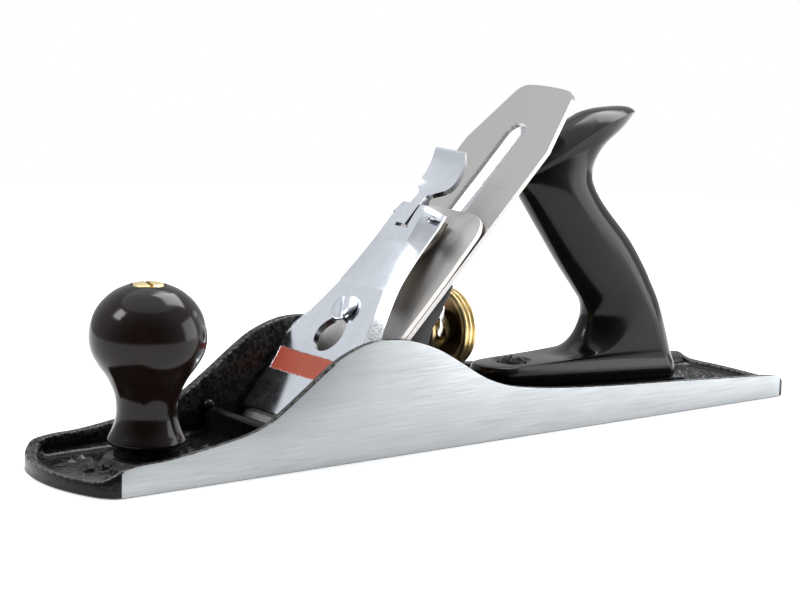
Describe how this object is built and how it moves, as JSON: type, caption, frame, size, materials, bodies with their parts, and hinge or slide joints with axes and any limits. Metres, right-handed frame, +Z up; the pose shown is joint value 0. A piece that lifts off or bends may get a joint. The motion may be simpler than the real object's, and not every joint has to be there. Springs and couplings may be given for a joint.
{
  "type": "hand plane",
  "caption": "Iron bench plane for flattening wood, with an adjustable cutter held under a lever cap, a round front knob and a curved rear tote.",
  "frame": {"origin": "on the sole's underside, at the middle of the plane's length and width", "axes": "+X towards the toe (the cutting direction), +Y towards the left cheek, +Z up from the sole"},
  "size_m": [0.3556, 0.063, 0.137],
  "materials": {
    "casting": "black enamel inside, ground bright outside",
    "frog": "black paint with a machined bed",
    "grip": "gloss",
    "chrome": "bright plated",
    "steel": "satin",
    "brass": "turned",
    "black_steel": "blackened"
  },
  "bodies": {
    "body": {"body_casting": "casting", "front_knob": "grip", "knob_stud": "steel", "knob_nut": "brass", "tote": "grip", "tote_rod": "steel", "tote_nut": "brass", "tote_toe_screw": "black_steel", "frog_screw_left": "steel", "frog_screw_right": "steel", "frog_washer_left": "steel", "frog_washer_right": "steel"},
    "frog": {"frog": "frog", "adjusting_stud": "steel", "y_lever_pin": "steel", "frog_clip": "steel", "frog_clip_screw": "steel", "lever_cap_screw": "chrome", "lateral_pivot": "steel"},
    "frog_adjusting_screw": {"frog_adjusting_screw": "steel"},
    "wheel_collar": {"wheel_collar": "brass"},
    "depth_wheel": {"depth_wheel": "brass"},
    "y_lever": {"y_lever": "steel"},
    "cutter_assembly": {"cutter": "steel", "cap_iron": "steel", "cap_iron_screw": "steel"},
    "lateral_lever": {"lateral_lever": "steel"},
    "lateral_roller": {"lateral_roller": "steel"},
    "lever_cap": {"lever_cap": "chrome", "lever_cap_spring": "steel", "spring_rivet": "steel", "cam_pin": "steel"},
    "cam_lever": {"cam_lever": "chrome"}
  },
  "joints": [
    {"name": "frog_slide", "type": "slide", "parent": "body", "child": "frog", "axis": [1, 0, 0], "range_m": [-0.001, 0.001]},
    {"name": "frog_screw_spin", "type": "hinge", "parent": "frog", "child": "frog_adjusting_screw", "pos_m": [0, 0, 0.014], "axis": [1, 0, 0], "range_deg": [-361, 361]},
    {"name": "wheel_travel", "type": "slide", "parent": "frog", "child": "wheel_collar", "axis": [-1, 0, 0], "range_m": [-0.00163, 0.00163]},
    {"name": "wheel_spin", "type": "hinge", "parent": "wheel_collar", "child": "depth_wheel", "pos_m": [-0.012, 0, 0.0415], "axis": [1, 0, 0], "range_deg": [-551, 551]},
    {"name": "y_lever_pivot", "type": "hinge", "parent": "frog", "child": "y_lever", "pos_m": [0.004, 0, 0.052], "axis": [0, 1, 0], "range_deg": [-8.9, 8.9]},
    {"name": "cutter_feed", "type": "slide", "parent": "frog", "child": "cutter_assembly", "axis": [0.7071, 0, -0.7071], "range_m": [-0.0023, 0.0023]},
    {"name": "lateral_swing", "type": "hinge", "parent": "frog", "child": "lateral_lever", "pos_m": [0.00381, 0, 0.06859], "axis": [0.7071, 0, 0.7071], "range_deg": [-8, 8]},
    {"name": "roller_spin", "type": "hinge", "parent": "lateral_lever", "child": "lateral_roller", "pos_m": [0.00947, 0, 0.06293], "axis": [0.7071, 0, 0.7071], "continuous": true},
    {"name": "lever_cap_slide", "type": "slide", "parent": "frog", "child": "lever_cap", "axis": [-0.7071, 0, 0.7071], "range_m": [0, 0.012]},
    {"name": "cam_release", "type": "hinge", "parent": "lever_cap", "child": "cam_lever", "pos_m": [0.00805, 0, 0.08839], "axis": [0, 1, 0], "range_deg": [0, 95]}
  ],
  "couplings": [
    {"joint": "frog_screw_spin", "follows": "frog_slide", "rad_per_m": 6283.2},
    {"joint": "wheel_spin", "follows": "cutter_feed", "rad_per_m": 4177.1},
    {"joint": "wheel_travel", "follows": "cutter_feed", "ratio": 0.70468},
    {"joint": "y_lever_pivot", "follows": "cutter_feed", "rad_per_m": 67.114}
  ]
}
